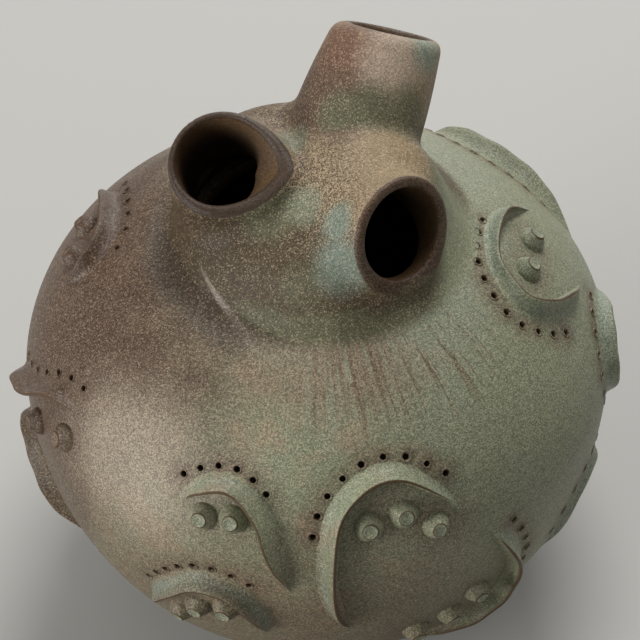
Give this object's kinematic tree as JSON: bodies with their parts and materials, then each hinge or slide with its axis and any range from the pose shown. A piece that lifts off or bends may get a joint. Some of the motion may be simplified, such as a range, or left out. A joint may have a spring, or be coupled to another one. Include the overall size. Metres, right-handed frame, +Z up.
{
  "type": "three-spout vessel",
  "caption": "Round hand-built stoneware vessel on a flat foot, with a domed hub carrying open spouts and applied crescent ridges and studs over the body.",
  "frame": {"origin": "centre of the flat foot, on the surface the vessel stands on", "axes": "+Z up along the axis of the pot; -Y is the front of the picture; +X is to the right of the picture"},
  "size_m": [0.3364, 0.3385, 0.3462],
  "materials": {
    "bowl_glaze": "satin mottled brown and green stoneware glaze",
    "shoulder_glaze": "satin stoneware glaze, mauve brown on the left and grey green on the right",
    "hub_glaze": "satin speckled tan glaze",
    "spout_glaze": "speckled brown glaze, glossy dark iron brown at the mouth",
    "ridge_glaze": "grey green glaze breaking to rust brown at the lip",
    "stud_glaze": "pale grey green glaze"
  },
  "bodies": {
    "root": {"lower_bowl": "bowl_glaze", "upper_dome": "shoulder_glaze", "spout_hub": "hub_glaze", "spout_left": "spout_glaze", "spout_right": "spout_glaze", "spout_back": "spout_glaze", "ridge_front_right": "ridge_glaze", "stud_front_right_1": "stud_glaze", "stud_front_right_2": "stud_glaze", "stud_front_right_3": "stud_glaze", "ridge_low_right": "ridge_glaze", "stud_low_right_1": "stud_glaze", "stud_low_right_2": "stud_glaze", "stud_low_right_3": "stud_glaze", "ridge_front_left": "ridge_glaze", "stud_front_left_1": "stud_glaze", "stud_front_left_2": "stud_glaze", "ridge_low_left": "ridge_glaze", "stud_low_left_1": "stud_glaze", "stud_low_left_2": "stud_glaze", "stud_low_left_3": "stud_glaze", "ridge_left": "ridge_glaze", "stud_left_1": "stud_glaze", "stud_left_2": "stud_glaze", "ridge_left_shoulder": "ridge_glaze", "stud_left_shoulder_1": "stud_glaze", "stud_left_shoulder_2": "stud_glaze", "ridge_right": "ridge_glaze", "stud_right_1": "stud_glaze", "stud_right_2": "stud_glaze", "ridge_right_shoulder": "ridge_glaze", "stud_right_shoulder_1": "stud_glaze", "stud_right_shoulder_2": "stud_glaze", "ridge_right_side": "ridge_glaze", "stud_right_side_1": "stud_glaze", "stud_right_side_2": "stud_glaze", "ridge_back_right": "ridge_glaze", "stud_back_right_1": "stud_glaze", "stud_back_right_2": "stud_glaze", "ridge_back_low": "ridge_glaze", "stud_back_low_1": "stud_glaze", "stud_back_low_2": "stud_glaze", "ridge_back_left": "ridge_glaze", "stud_back_left_1": "stud_glaze", "stud_back_left_2": "stud_glaze", "ridge_low_back_left": "ridge_glaze", "stud_low_back_left_1": "stud_glaze", "stud_low_back_left_2": "stud_glaze", "ridge_low_back_right": "ridge_glaze", "stud_low_back_right_1": "stud_glaze", "stud_low_back_right_2": "stud_glaze", "ridge_low_side_right": "ridge_glaze", "stud_low_side_right_1": "stud_glaze", "stud_low_side_right_2": "stud_glaze", "ridge_low_side_left": "ridge_glaze", "stud_low_side_left_1": "stud_glaze", "stud_low_side_left_2": "stud_glaze"}
  },
  "joints": []
}
